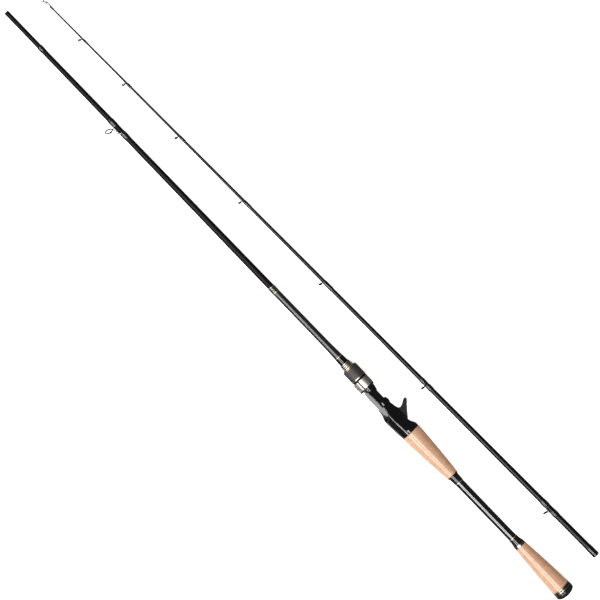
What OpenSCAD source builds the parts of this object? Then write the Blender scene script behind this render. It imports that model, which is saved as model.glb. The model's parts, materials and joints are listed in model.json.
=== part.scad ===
// Two-piece baitcasting rod, taken apart. The handle section and the tip section lie side by side on
// a flat surface, with +X towards the tips, +Y towards the reel side and +Z up. The origin is on that
// surface, under the middle of the pair.
//
// Each section is drawn in a frame of its own, with x along the blank towards the tip and y towards the
// side that carries the guides and the reel. x starts at the butt cap on the handle section, and at the
// mouth of the socket on the tip section.

/* [Blank, handle section] */
// Length from the butt cap to the end of the ferrule spigot
butt_len = 1122; // [900:0.5:1400]
// Radius of the blank inside the handle
handle_r = 6.35; // [6:0.05:6.6]
// Radius of the blank ahead of the handle, where its taper ends
fore_r = 5.3; // [5:0.05:5.9]
// Radius of the blank behind the ferrule spigot
shoulder_r = 3.6; // [3.5:0.05:4.2]
// Wall of the blank
blank_wall = 1.2; // [1:0.05:1.5]

/* [Ferrule] */
// Radius of the ferrule spigot
spigot_r = 3.4; // [3:0.05:3.5]
// Length of the ferrule spigot
spigot_len = 65.5; // [40:0.5:80]
// Radial play between the spigot and the socket
ferrule_play = 0.03; // [0.01:0.01:0.05]
// Space left past the end of the spigot in the socket
socket_spare = 2; // [1:0.5:5]

/* [Blank, tip section] */
// Length from the mouth of the socket to the front of the blank
tip_len = 1084.5; // [900:0.5:1300]
// Radius of the blank at the socket
socket_r = 4.65; // [4.4:0.05:5]
// Radius of the blank where its fast taper ends
mid_r = 1.95; // [1.6:0.05:2.2]
// Distance from the front of the blank to that place
mid_from_tip = 285; // [250:1:360]
// Radius of the blank at its front
tip_r = 1.1; // [0.8:0.05:1.2]
// Wall of the tip blank
tip_wall = 0.6; // [0.5:0.05:0.7]

/* [Handle, from the butt forwards] */
// Length of the butt cap
cap_len = 9.9; // [8:0.1:14]
// Radius of the butt cap
cap_r = 14.4; // [13:0.1:16]
// Length of the trim rings ahead of the butt cap
butt_trim_len = 4.8; // [3:0.1:8]
// Length of the rear grip
rear_grip_len = 79.7; // [50:0.1:160]
// Radius of the rear grip at the butt
rear_grip_r = 14; // [12:0.1:16]
// Radius of the rear grip at its front
rear_grip_front_r = 8.8; // [8:0.1:11]
// Length of the check ring ahead of the rear grip
rear_check_len = 3.5; // [2:0.1:5]
// Length of the sleeve ahead of that ring
rear_sleeve_len = 11.1; // [6:0.1:20]
// Length of bare blank between the grips
split_len = 105.6; // [60:0.1:200]
// Width of a thin trim line
line_w = 1.2; // [0.8:0.1:2]
// Length of the sleeve behind the front grip
front_sleeve_len = 11.1; // [6:0.1:20]
// Length of the ring behind the front grip
front_ring_len = 2.1; // [1.5:0.1:4]
// Length of the front grip
front_grip_len = 82.4; // [50:0.1:130]
// Radius of the front grip at the reel seat
front_grip_r = 14.9; // [14.7:0.1:16]
// Radius of the front grip at its rear
front_grip_rear_r = 8.85; // [8:0.05:11]
// Cork rings glued up to make each grip
cork_rings = 6; // [4:1:8]

/* [Reel seat] */
// Length of the reel seat
seat_len = 123.3; // [118:0.1:140]
// Height of the platform above the blank's axis
platform_h = 8.6; // [8.4:0.1:8.8]
// Half the width of the platform
platform_half = 7.6; // [7:0.1:8]
// Half the width of the platform's front, which the hood passes over
platform_front_half = 6.8; // [6:0.1:6.9]
// Radius of the plain body of the seat
seat_r = 8.8; // [8.4:0.1:8.9]
// Radius of the thread's crest
thread_r = 9.3; // [9.1:0.05:9.4]
// Pitch of the thread
thread_pitch = 2; // [1.5:0.1:2.5]
// Depth of the thread
thread_depth = 0.6; // [0.4:0.05:0.7]
// Radius of the rear end, where the front grip starts
seat_end_r = 14.6; // [14:0.1:14.7]
// Radius of the fixed rear hood
rear_hood_r = 16.2; // [15.5:0.1:17]
// Wall of the fixed rear hood
rear_hood_wall = 1.8; // [1.5:0.1:2.2]
// Distance from the rear end to the back wall of the rear pocket
rear_pocket_x = 22; // [18:0.5:24]
// Distance from the rear end to the trigger's tip
trigger_x = 37.9; // [36:0.1:40]
// Distance from the blank's axis to the centre of the trigger's round tip
trigger_drop = 28.9; // [27:0.1:33]
// Radius of the trigger's tip
trigger_tip_r = 2.2; // [1.8:0.1:2.4]

/* [Hood and lock nut] */
// Outer radius of the sliding hood
hood_r = 11.25; // [11:0.05:12]
// Length of the sliding hood
hood_len = 13.2; // [12:0.1:16]
// Length of the hood's black rim
rim_len = 2.4; // [2:0.1:3]
// Radius of the pocket's roof inside the hood
pocket_r = 12; // [11.9:0.1:12.4]
// Wall over the pocket
pocket_wall = 1.2; // [1:0.1:1.5]
// Travel of the hood from open to shut
hood_travel = 8; // [4:0.5:8]
// Outer radius of the lock nut
nut_r = 11.9; // [11.5:0.05:13]
// Length of the lock nut
nut_len = 22; // [18:0.1:24]
// Length of the winding check ahead of the seat
check_len = 10; // [7:0.1:14]

/* [Wraps and bands] */
// Length of the wrap ahead of the winding check
fore_wrap_len = 10; // [6:0.5:16]
// Length of the glossy band ahead of that wrap
gloss_band_len = 124; // [80:1:160]
// Length of the marker wrap ahead of the band
marker_len = 10.5; // [6:0.5:20]
// Thickness of a thread wrap under its varnish
wrap_t = 0.4; // [0.35:0.05:0.45]
// Length of the stop wrap behind the spigot
stop_wrap_len = 9.4; // [6:0.1:14]
// Length of the wrap round the socket
socket_wrap_len = 16.5; // [10:0.5:24]

/* [Guides] */
// Distance from the spigot's end to the stripper guide
stripper_from_end = 220.5; // [190:0.5:240]
// Outer radius of the stripper guide's frame
stripper_r = 5.65; // [5:0.05:6.5]
// Height of the stripper guide's ring above the blank's axis
stripper_h = 19.7; // [15:0.1:22]
// Turn of the stripper guide round the blank, away from the reel
stripper_turn = 27; // [0:1:40]
// Lean of the rings towards the tip
ring_lean = 25; // [15:1:28]
// Width of a ring frame
frame_w = 1; // [0.9:0.05:1.2]
// Thickness of a ring frame
frame_t = 0.5; // [0.4:0.05:0.6]
// Thickness of a ring insert
insert_t = 0.5; // [0.4:0.05:0.6]
// Length of the round land inside a ring insert
land_len = 1; // [0.9:0.05:1.2]

/* [Lay of the two sections] */
// Distance between the two axes at the socket's mouth
socket_gap = 66.7; // [45:0.1:90]
// Distance between the two axes at the front of the tip blank
tip_gap = 49.6; // [40:0.1:80]
// Distance from the butt cap to the socket's mouth
socket_from_butt = 9.5; // [0:0.5:60]
// Turn of the tip section about its blank, from rings level to rings up
tip_roll = 50; // [0:1:60]

/* [Hidden] */
$fn = 64;

// Guides of the tip section, from the tip backwards: distance of the ring from the front of a blank of the
// usual length, outer radius of its frame, height of its centre, then the gap to its rear wrap and that
// wrap's length, and the same for its front wrap, where it has a front foot
guides = [
    [71, 2.4, 7, 2.6, 7.6],
    [158, 2.45, 7.2, 2.6, 8.3],
    [262, 2.5, 7.8, 1.6, 10],
    [388, 2.6, 8.6, 1.6, 14],
    [547, 2.7, 9.3, 1.2, 16],
    [749, 2.9, 10.9, 2.4, 9.3, 2.4, 7.5],
    [991, 3.5, 13.1, 6.9, 9.2, 3.6, 10]
];
guide_spread = tip_len / 1084.5;    // moves the guides apart on a longer blank
guide_wrap_t = 0.7;     // a wrap that also covers a guide's foot
foot_t = 0.4;
foot_half = 0.8;        // half the width of a foot
foot_cover = 0.75;      // share of a wrap's length that the foot reaches under
foot_show = 0.8;        // how far a foot shows past its wrap
bond = 0.1;             // glue film between the blank and what is bonded round it
cork_film = 0.05;       // glue film between rings that are stacked on the blank
face_gap = 0.3;         // between faces that move past each other
run_play = 0.06;        // radial play of the lock nut on the thread's crest
body_play = 0.3;        // radial play of the hood round the seat
cover_film = 0.15;      // thickness of the glossy band
flare_len = 34;         // stretch over which the blank swells to its radius in the handle

// Places along the handle section, counted from the butt cap
x_butt_trim = cap_len;
x_rear_grip = x_butt_trim + butt_trim_len;
x_rear_check = x_rear_grip + rear_grip_len;
x_rear_sleeve = x_rear_check + rear_check_len;
x_rear_line = x_rear_sleeve + rear_sleeve_len;
x_front_line = x_rear_line + line_w + split_len;
x_front_sleeve = x_front_line + line_w;
x_front_ring = x_front_sleeve + front_sleeve_len;
x_front_grip = x_front_ring + front_ring_len;
x_seat = x_front_grip + front_grip_len;
x_seat_front = x_seat + seat_len;
x_nut = x_seat_front - face_gap - nut_len;
x_hood = x_nut - face_gap - hood_len;
x_rim = x_hood - rim_len;
x_fore_wrap = x_seat_front + check_len;
x_flare = x_fore_wrap - 2;
x_band = x_fore_wrap + fore_wrap_len + line_w;
x_marker = x_band + gloss_band_len;
x_shoulder = butt_len - spigot_len;
x_stripper = butt_len - stripper_from_end;

// Radius of the blank at a place on the handle section, and at a place on the tip section
x_taper = x_flare + flare_len;
function butt_r(x) =
    x < x_flare ? handle_r
    : x < x_taper ? handle_r + (fore_r - handle_r) * (x - x_flare) / flare_len
    : fore_r + (shoulder_r - fore_r) * (x - x_taper) / (x_shoulder - x_taper);
x_mid = tip_len - mid_from_tip;
function tip_blank_r(x) =
    x < x_mid ? socket_r + (mid_r - socket_r) * x / x_mid
    : mid_r + (tip_r - mid_r) * (x - x_mid) / mid_from_tip;

// The tip-top: a tube over the front of the blank, with its ring ahead of it and to one side
top_tube = 8;
top_tube_r = tip_r + 0.45;
top_r = 2.4;
top_h = 3.4;
x_top = tip_len + 3.5;

// How the sections lie. The front grip, the spigot's end and the trigger's tip touch the surface. The
// tip section rests on the rear wrap of its last guide, and on the wrap, tube or ring that is next to
// touch as its front comes down.
butt_pitch = asin((front_grip_r - spigot_r) / (butt_len - x_seat));
function butt_axis_z(x) = spigot_r + (butt_len - x) * sin(butt_pitch);
butt_roll = asin((butt_axis_z(x_seat + trigger_x) - trigger_tip_r) / trigger_drop);
butt_y = (socket_gap + socket_r + wrap_t - rear_hood_r) / 2;
last_guide = guides[len(guides) - 1];
x_rest = guide_x(last_guide) - last_guide[3] - last_guide[4];
rest_r = tip_blank_r(x_rest) + guide_wrap_t;
supports = concat(
    [for (k = [0:len(guides) - 2]) let (x = guide_x(guides[k]) - guides[k][3] - guides[k][4])
        [x, tip_blank_r(x) + guide_wrap_t]],
    [[tip_len, top_tube_r], [x_top, top_r - top_h * sin(tip_roll)]]
);
tip_pitch = asin(min([for (p = supports) (rest_r - p[1]) / (p[0] - x_rest)]));
tip_axis_z = rest_r + x_rest * sin(tip_pitch);
tip_yaw = asin((socket_gap - tip_gap) / tip_len);

// ---- frames of the two sections ----

module on_butt() {
    translate([-butt_len / 2, butt_y, butt_axis_z(0)]) rotate([butt_roll, butt_pitch, 0]) children();
}

module on_stripper() {
    on_butt() rotate([stripper_turn, 0, 0]) children();
}

module on_tip() {
    translate([socket_from_butt - butt_len / 2, butt_y - socket_gap, tip_axis_z])
        rotate([tip_roll, tip_pitch, tip_yaw]) children();
}

// ---- shapes that repeat ----

// A round bar or cone along x
module turned(x0, x1, r0, r1) {
    translate([x0, 0, 0]) rotate([0, 90, 0]) cylinder(h = x1 - x0, r1 = r0, r2 = r1);
}

// A turned shape whose outline is a list of [x, radius]
module lathe(outline) {
    rotate([0, 90, 0]) rotate_extrude() polygon([for (p = outline) [p[1], p[0]]]);
}

// A turned ring with a plain bore
module collar(x0, x1, r0, r1, bore) {
    difference() {
        turned(x0, x1, r0, r1);
        turned(x0 - 1, x1 + 1, bore, bore);
    }
}

// A round strut between two points
module strut(a, b, r) {
    v = b - a;
    translate(a) rotate([0, acos(v[2] / norm(v)), atan2(v[1], v[0])]) cylinder(h = norm(v), r = r);
}

// A solid that follows the handle blank, or the tip blank, with its surface raised by t
module butt_solid(x0, x1, t) {
    turned(x0, x1, butt_r(x0) + t, butt_r(x1) + t);
}

module tip_solid(x0, x1, t) {
    turned(x0, x1, tip_blank_r(x0) + t, tip_blank_r(x1) + t);
}

// A sleeve wound or coated on the handle blank, or on the tip blank
module butt_sleeve(x0, x1, t) {
    difference() {
        butt_solid(x0, x1, t);
        butt_solid(x0 - 1, x1 + 1, 0);
    }
}

module tip_sleeve(x0, x1, t) {
    difference() {
        tip_solid(x0, x1, t);
        tip_solid(x0 - 1, x1 + 1, 0);
    }
}

// The space that a guide's foot takes on a blank, from x0 to x1, up to height top
module foot_space(x0, x1, top) {
    translate([x0, 0, -foot_half]) cube([x1 - x0, top, 2 * foot_half]);
}

// ---- guides, with the ring at [x, h] ----

function ring_top(x, h, along) = [x + along * sin(ring_lean), h + along * cos(ring_lean), 0];

module at_ring(x, h) {
    translate([x, h, 0]) rotate([0, 0, -ring_lean]) rotate([0, 90, 0]) children();
}

// The frame's round band
module ring_band(x, h, r) {
    at_ring(x, h) rotate_extrude()
        translate([r - frame_t, -frame_w / 2]) square([frame_t, frame_w]);
}

// The hard insert pressed into that band, with a round land and flared mouths
module ring_insert(x, h, r) {
    outer = r - frame_t;
    inner = outer - insert_t;
    half = land_len / 2;
    lip = insert_t / 2;
    at_ring(x, h) rotate_extrude() polygon([
        [inner, -half], [inner + lip, -half - lip], [outer, -half - lip],
        [outer, half + lip], [inner + lip, half + lip], [inner, half]
    ]);
}

// Two legs from the sides of a ring band down to one point on the blank
module leg_pair(x, h, r, foot, wire) {
    mid = r - frame_t / 2;
    spread = 50;            // degrees from the ring's lowest point to where a leg joins it
    for (side = [-1, 1])
        strut(ring_top(x, h, -mid * cos(spread)) + [0, 0, side * mid * sin(spread)],
              foot + [0, 0, side * (foot_half - wire)], wire);
}

// ---- handle section ----

module butt_blank() color([0.16, 0.14, 0.15]) on_butt() difference() {
    union() {
        turned(2, x_flare, handle_r, handle_r);
        butt_solid(x_flare, x_taper, 0);
        butt_solid(x_taper, x_shoulder, 0);
        turned(x_shoulder, butt_len, spigot_r, spigot_r);
    }
    turned(-1, x_flare, handle_r - blank_wall, handle_r - blank_wall);
    turned(x_flare, x_taper, handle_r - blank_wall, fore_r - blank_wall);
    turned(x_taper, butt_len - 4, fore_r - blank_wall, spigot_r - blank_wall);
}

module stop_wrap() color([0.05, 0.05, 0.05]) on_butt()
    butt_sleeve(x_shoulder - stop_wrap_len + line_w, x_shoulder - line_w, wrap_t);

module stop_wrap_trim() color([0.75, 0.65, 0.4]) on_butt()
    butt_sleeve(x_shoulder - stop_wrap_len, x_shoulder - stop_wrap_len + line_w, wrap_t);

stripper_wrap_len = 10;
stripper_front = [x_stripper + 1, x_stripper + 1 + stripper_wrap_len];
stripper_rear = [x_stripper - 12 - stripper_wrap_len, x_stripper - 12];

module stripper_feet() {
    reach = stripper_wrap_len * foot_cover;
    top = butt_r(x_stripper) + 2 * foot_t;
    foot_space(stripper_rear[1] - reach, stripper_rear[1] + 2 * foot_show, top);
    foot_space(stripper_front[0] - 2 * foot_show, stripper_front[0] + reach, top);
}

module stripper_frame() color([0.3, 0.3, 0.32]) on_stripper() {
    blank = butt_r(x_stripper);
    wire = 0.6;
    leg_in = wire + 0.2;
    difference() {
        union() {
            ring_band(x_stripper, stripper_h, stripper_r);
            leg_pair(x_stripper, stripper_h, stripper_r,
                     [stripper_rear[1] + leg_in, blank + foot_t, 0], wire);
            leg_pair(x_stripper, stripper_h, stripper_r,
                     [stripper_front[0] - leg_in, blank + foot_t, 0], wire);
            intersection() {
                stripper_feet();
                butt_solid(stripper_rear[0], stripper_front[1], foot_t);
            }
        }
        butt_solid(stripper_rear[0], stripper_front[1], 0);
        at_ring(x_stripper, stripper_h)
            cylinder(h = 3 * frame_w, r = stripper_r - frame_t, center = true);
    }
}

module stripper_ring() color([0.2, 0.2, 0.22]) on_stripper()
    ring_insert(x_stripper, stripper_h, stripper_r);

module stripper_wraps() color([0.05, 0.05, 0.05]) on_stripper() difference() {
    union() {
        butt_sleeve(stripper_rear[0], stripper_rear[1], guide_wrap_t);
        butt_sleeve(stripper_front[0], stripper_front[1], guide_wrap_t);
    }
    intersection() {
        stripper_feet();
        butt_solid(stripper_rear[0], stripper_front[1], foot_t);
    }
}

module stripper_trims() color([0.7, 0.55, 0.35]) on_butt() {
    butt_sleeve(stripper_rear[0] - line_w, stripper_rear[0], wrap_t);
    butt_sleeve(stripper_front[1], stripper_front[1] + line_w, wrap_t);
}

module marker_wrap() color([0.1, 0.09, 0.09]) on_butt()
    butt_sleeve(x_marker + line_w, x_marker + marker_len - line_w, wrap_t);

module marker_trims() color([0.75, 0.65, 0.4]) on_butt() {
    butt_sleeve(x_marker, x_marker + line_w, wrap_t);
    butt_sleeve(x_marker + marker_len - line_w, x_marker + marker_len, wrap_t);
}

// The band crosses the end of the blank's flare, so it is drawn in two stretches
module gloss_band() color([0.3, 0.28, 0.28]) on_butt() {
    butt_sleeve(x_taper, x_marker, cover_film);
    difference() {
        butt_solid(x_band, x_taper, cover_film);
        butt_solid(x_band, x_taper, 0);
    }
}

module fore_trim() color([0.75, 0.65, 0.4]) on_butt()
    butt_sleeve(x_band - line_w, x_band, wrap_t);

module fore_wrap() color([0.05, 0.05, 0.05]) on_butt()
    butt_sleeve(x_fore_wrap, x_fore_wrap + fore_wrap_len, wrap_t);

// Stepped rings that grow from the wrap to the lock nut
module winding_check() color([0.8, 0.72, 0.5]) on_butt() {
    steps = 3;
    step = check_len / (steps + 1);
    front_r = handle_r + 1;
    grow = (thread_r + 1 - front_r) / (steps + 1);
    groove = 1.1;
    difference() {
        union() {
            turned(x_seat_front, x_fore_wrap, front_r, front_r);
            for (k = [0:steps])
                turned(x_seat_front + k * step, x_seat_front + (k + 1) * step - groove,
                       front_r + grow * (steps - k + 1), front_r + grow * (steps - k + 0.4));
        }
        turned(x_seat_front - 1, x_fore_wrap + 1, handle_r + bond, handle_r + bond);
    }
}

// ---- reel seat, drawn from its rear end ----

seat_bore = handle_r + 0.55;
window = [60, 75];      // where the blank shows below the platform
narrow_start = 75.5;    // the hood passes over the platform from here
narrow_end = 81.4;
crest_start = 84;       // plain crest behind the thread
thread_start = 91;
rear_hood_len = 52;
pocket_half = 8.4;      // half the width of the rear pocket

module along_seat() {
    translate([x_seat, 0, 0]) children();
}

// A bar along x with an outline of [z, y] points
module seat_bar(x0, x1, outline) {
    translate([x0, 0, 0]) rotate([90, 0, 90])
        linear_extrude(x1 - x0) polygon([for (p = outline) [p[1], p[0]]]);
}

module seat_rear_shape() {
    lathe([[0, 0], [0, seat_end_r], [2.8, seat_end_r], [5.6, seat_end_r - 0.3],
           [8.3, 12.7], [11.1, 11.2], [13.9, 10.1], [16.7, 9.8], [20, 9.4], [24, seat_r],
           [48, seat_r - 0.6], [50.5, seat_r - 0.4], [52.5, seat_r + 0.7], [55, seat_r + 0.9],
           [57.5, seat_r + 0.6], [59, seat_r], [window[1], seat_r - 0.4], [window[1], 0]]);
}

module rear_hood_shape() {
    cut_r = 24;
    difference() {
        intersection() {
            lathe([[0, 0], [0, seat_end_r], [2.8, seat_end_r], [24, rear_hood_r - 0.2],
                   [30, rear_hood_r], [rear_hood_len, rear_hood_r], [rear_hood_len, 0]]);
            seat_bar(0, rear_hood_len, [[-6, -3], [-9.5, 1], [-11.2, 6], [-11.6, 11], [-11.6, 20],
                             [11.6, 20], [11.6, 11], [11.2, 6], [9.5, 1], [6, -3]]);
        }
        translate([rear_hood_len - 2, platform_h + cut_r, 0])
            cylinder(h = 60, r = cut_r, center = true);
    }
}

// Side view of the trigger as [x, distance below the axis]
function arc_points(c, r, a0, a1, n) =
    [for (k = [0:n]) let (a = a0 + (a1 - a0) * k / n) [c[0] + r * cos(a), c[1] + r * sin(a)]];

module trigger_shape() {
    side = concat(
        [[15.5, -4], [16.7, -9.6], [19.4, -12.3], [25, -17.7], [30.5, -23.3]],
        arc_points([trigger_x, -trigger_drop], trigger_tip_r, 215, 385, 12),
        [[trigger_x + 0.4, -25.2], [trigger_x - 1.3, -22.4], [trigger_x - 2.7, -19.2],
         [trigger_x - 3.3, -16.2], [trigger_x - 3.1, -13.4], [trigger_x - 1.9, -11],
         [trigger_x + 0.4, -9.5], [trigger_x + 4, -8.4], [48, -7.4], [48, -4]]
    );
    front = concat(
        [[-5.4, -3], [-4.8, -10], [-3.8, -18], [-2.9, -25]],
        arc_points([0, -trigger_drop], trigger_tip_r, 180, 360, 16),
        [[2.9, -25], [3.8, -18], [4.8, -10], [5.4, -3]]
    );
    intersection() {
        translate([0, 0, -8]) linear_extrude(16) polygon(side);
        seat_bar(10, 60, front);
    }
}

// The thread is drawn as rings, one for each turn
module seat_barrel() {
    root = thread_r - thread_depth;
    turns = floor((seat_len - thread_start - 1) / thread_pitch);
    lathe(concat(
        [[window[1] - 1, 0], [window[1] - 1, 7], [80.4, seat_r],
         [crest_start, thread_r], [thread_start, thread_r]],
        [for (k = [0:turns - 1]) for (p = [[0.25, root], [0.5, root], [0.75, thread_r], [1, thread_r]])
            [thread_start + (k + p[0]) * thread_pitch, p[1]]],
        [[seat_len, thread_r], [seat_len, 0]]
    ));
}

module seat_body() color([0.07, 0.06, 0.07]) on_butt() along_seat() difference() {
    union() {
        difference() {
            union() {
                seat_rear_shape();
                rear_hood_shape();
                trigger_shape();
                seat_bar(rear_pocket_x - 4, narrow_start, [
                    [-platform_half, 0], [-platform_half, platform_h],
                    [platform_half, platform_h], [platform_half, 0]]);
            }
            // the exposed stretch of blank on the trigger side
            translate([window[0], -30, -20]) cube([window[1] - window[0], 31, 40]);
        }
        seat_barrel();
        seat_bar(window[1] - 1, narrow_end, [
            [-platform_front_half, 0], [-platform_front_half, platform_h],
            [platform_front_half, platform_h], [platform_front_half, 0]]);
    }
    turned(-1, seat_len + 1, seat_bore, seat_bore);
    // level top for the reel's foot, from the rear pocket to the front of the thread
    translate([rear_hood_len - 2, platform_h, -20]) cube([seat_len, 10, 40]);
    intersection() {
        turned(rear_pocket_x, window[0], rear_hood_r - rear_hood_wall, rear_hood_r - rear_hood_wall);
        translate([rear_pocket_x, platform_h, -pocket_half]) cube([40, 20, 2 * pocket_half]);
    }
}

// Rings of tape between the blank and the seat
module seat_arbors() color([0.75, 0.7, 0.55]) on_butt() along_seat()
    for (x = [6, 40, 84, seat_len - 20])
        collar(x, x + 14, seat_bore - bond, seat_bore - bond, handle_r + bond);

// ---- hood and lock nut ----

hood_bore = thread_r + body_play;
slot_half = platform_front_half + 0.4;

// Outside of the hood: a ring with a raised roof on the reel side
module hood_outside(x0, x1, r) {
    turned(x0, x1, r, r);
    intersection() {
        turned(x0, x1, pocket_r + pocket_wall, pocket_r + pocket_wall);
        translate([x0, 0, -slot_half - pocket_wall])
            cube([x1 - x0, 20, 2 * (slot_half + pocket_wall)]);
    }
}

// Pocket for the front of the reel's foot
module hood_slot(x0, x1) {
    intersection() {
        turned(x0, x1, pocket_r, pocket_r);
        translate([x0, 0, -slot_half]) cube([x1 - x0, 20, 2 * slot_half]);
    }
}

module hood() color([0.82, 0.78, 0.72]) on_butt() difference() {
    hood_outside(x_hood, x_hood + hood_len, hood_r);
    turned(x_hood - 1, x_hood + hood_len + 1, hood_bore, hood_bore);
    hood_slot(x_hood - 1, x_hood + hood_len - 2);
}

module hood_rim() color([0.06, 0.06, 0.06]) on_butt() difference() {
    hood_outside(x_rim, x_hood, hood_r - 0.3);
    turned(x_rim - 1, x_hood + 1, hood_bore, hood_bore);
    hood_slot(x_rim - 1, x_hood + 1);
}

nut_core_r = thread_r + 1.3;
nut_collar_len = 2.7;
nut_trim_len = 1.5;

module nut_core() color([0.1, 0.1, 0.1]) on_butt()
    difference() {
        lathe([[x_nut, 0], [x_nut, nut_r - 0.6], [x_nut + nut_collar_len, nut_r - 0.6],
               [x_nut + nut_collar_len, nut_core_r], [x_nut + nut_len, nut_core_r],
               [x_nut + nut_len, 0]]);
        turned(x_nut - 1, x_nut + nut_len + 1, thread_r + run_play, thread_r + run_play);
    }

module nut_sleeve() color([0.14, 0.13, 0.14]) on_butt()
    collar(x_nut + nut_collar_len + nut_trim_len, x_nut + nut_len - nut_trim_len,
           nut_r, nut_r, nut_core_r);

module nut_trims() color([0.8, 0.74, 0.6]) on_butt() {
    collar(x_nut + nut_collar_len, x_nut + nut_collar_len + nut_trim_len,
           nut_r, nut_r, nut_core_r);
    collar(x_nut + nut_len - nut_trim_len, x_nut + nut_len, nut_r, nut_r - 0.6, nut_core_r);
}

// ---- grips and trims ----

// A grip glued up from cork rings, with a slightly crowned outline from r0 to r1
module cork_grip(x0, x1, r0, r1, crown) {
    step = (x1 - x0) / cork_rings;
    function outline(t) = r0 + (r1 - r0) * t + crown * 4 * t * (1 - t);
    for (k = [0:cork_rings - 1])
        collar(x0 + k * step, x0 + (k + 1) * step - cork_film,
               outline(k / cork_rings), outline((k + 1) / cork_rings), handle_r + bond);
}

module front_grip() color([0.87, 0.7, 0.53]) on_butt()
    cork_grip(x_front_grip, x_seat, front_grip_rear_r, front_grip_r, 0.5);

module front_grip_ring() color([0.12, 0.1, 0.1]) on_butt()
    collar(x_front_ring, x_front_grip, front_grip_rear_r - 0.5, front_grip_rear_r - 0.3,
           handle_r + bond);

module front_sleeve() color([0.05, 0.05, 0.05]) on_butt()
    collar(x_front_sleeve, x_front_ring, handle_r + 0.5, handle_r + 1, handle_r + bond);

module front_line() color([0.8, 0.7, 0.45]) on_butt()
    collar(x_front_line, x_front_sleeve, handle_r + 0.4, handle_r + 0.5, handle_r + bond);

module rear_line() color([0.8, 0.7, 0.45]) on_butt()
    collar(x_rear_line, x_rear_line + line_w, handle_r + 0.5, handle_r + 0.4, handle_r + bond);

module rear_sleeve() color([0.05, 0.05, 0.05]) on_butt()
    difference() {
        lathe([[x_rear_sleeve, 0], [x_rear_sleeve, rear_grip_front_r - 0.3],
               [x_rear_sleeve + 0.3 * rear_sleeve_len, handle_r + 1.3],
               [x_rear_sleeve + 0.6 * rear_sleeve_len, handle_r + 0.7],
               [x_rear_line, handle_r + 0.5], [x_rear_line, 0]]);
        turned(x_rear_sleeve - 1, x_rear_line + 1, handle_r + bond, handle_r + bond);
    }

module rear_check() color([0.6, 0.6, 0.6]) on_butt()
    collar(x_rear_check, x_rear_sleeve, rear_grip_front_r, rear_grip_front_r - 0.2,
           handle_r + bond);

module rear_grip() color([0.87, 0.7, 0.53]) on_butt()
    cork_grip(x_rear_grip, x_rear_check, rear_grip_r, rear_grip_front_r, 0.4);

// Two thin metal rings with a dark one between them
module butt_trim_ring(k, r) {
    ring = butt_trim_len / 3;
    collar(x_butt_trim + k * ring, x_butt_trim + (k + 1) * ring - cork_film, r, r, handle_r + bond);
}

module butt_trims() color([0.75, 0.62, 0.4]) on_butt()
    for (k = [0, 2]) butt_trim_ring(k, rear_grip_r + 0.1);

module butt_dark_ring() color([0.1, 0.1, 0.1]) on_butt()
    butt_trim_ring(1, rear_grip_r - 0.1);

module butt_cap() color([0.06, 0.06, 0.06]) on_butt() {
    dome = 16;
    edge = cap_r - 1.2;
    difference() {
        lathe(concat(
            [[0, 0]],
            [for (k = [1:dome]) let (a = 90 * k / dome)
                [cap_len * 0.55 * (1 - cos(a)), edge * pow(sin(a), 0.8) + 1.2 * k / dome]],
            [[cap_len, cap_r], [cap_len, 0]]
        ));
        turned(2 - bond, cap_len + 1, handle_r + bond, handle_r + bond);
    }
}

// ---- tip section ----

socket_bore_r = spigot_r + ferrule_play;
socket_depth = spigot_len + socket_spare;

module tip_blank() color([0.12, 0.11, 0.12]) on_tip() difference() {
    union() {
        tip_solid(0, x_mid, 0);
        tip_solid(x_mid, tip_len, 0);
    }
    turned(-1, socket_depth, socket_bore_r, socket_bore_r);
    turned(socket_depth + 6, x_mid, tip_blank_r(socket_depth + 6) - blank_wall,
           mid_r - tip_wall);
    turned(x_mid, tip_len - 12, mid_r - tip_wall, tip_r - tip_wall);
}

module socket_wrap() color([0.05, 0.05, 0.05]) on_tip()
    difference() {
        tip_solid(0.5, socket_wrap_len - line_w, wrap_t);
        tip_solid(0, socket_wrap_len, 0);
    }

module socket_trim() color([0.75, 0.65, 0.4]) on_tip()
    tip_sleeve(socket_wrap_len - line_w, socket_wrap_len, wrap_t);

module tip_top_frame() color([0.6, 0.6, 0.62]) on_tip() {
    wire = 0.35;
    difference() {
        union() {
            turned(tip_len - top_tube, tip_len + 1, top_tube_r, top_tube_r);
            ring_band(x_top, top_h, top_r);
            for (side = [-1, 1])
                strut([tip_len - top_tube / 2, 0.5, side * 0.6],
                      ring_top(x_top, top_h, 0) + [0, 0, side * (top_r - wire)], wire);
            strut([tip_len, 0, 0], ring_top(x_top, top_h, -top_r + frame_t / 2), wire);
        }
        tip_solid(tip_len - top_tube - 1, tip_len, 0.02);
        at_ring(x_top, top_h) cylinder(h = 4 * frame_w, r = top_r - frame_t, center = true);
    }
}

module tip_top_ring() color([0.2, 0.2, 0.22]) on_tip()
    ring_insert(x_top, top_h, top_r);

module tip_top_wrap() color([0.05, 0.05, 0.05]) on_tip()
    tip_sleeve(tip_len - top_tube - 6.5, tip_len - top_tube, wrap_t);

// Places of one guide: its ring, rear wrap and front wrap
function guide_x(g) = tip_len - g[0] * guide_spread;
function has_front(g) = len(g) > 5;
function rear_span(g) = [guide_x(g) - g[3] - g[4], guide_x(g) - g[3]];
function front_span(g) = [guide_x(g) + g[5], guide_x(g) + g[5] + g[6]];
function guide_end(g) = has_front(g) ? front_span(g)[1] : guide_x(g);

module guide_feet(g) {
    top = tip_blank_r(rear_span(g)[0]) + 2 * foot_t;
    foot_space(rear_span(g)[1] - g[4] * foot_cover, rear_span(g)[1] + foot_show, top);
    if (has_front(g))
        foot_space(front_span(g)[0] - foot_show, front_span(g)[0] + g[6] * foot_cover, top);
}

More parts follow.
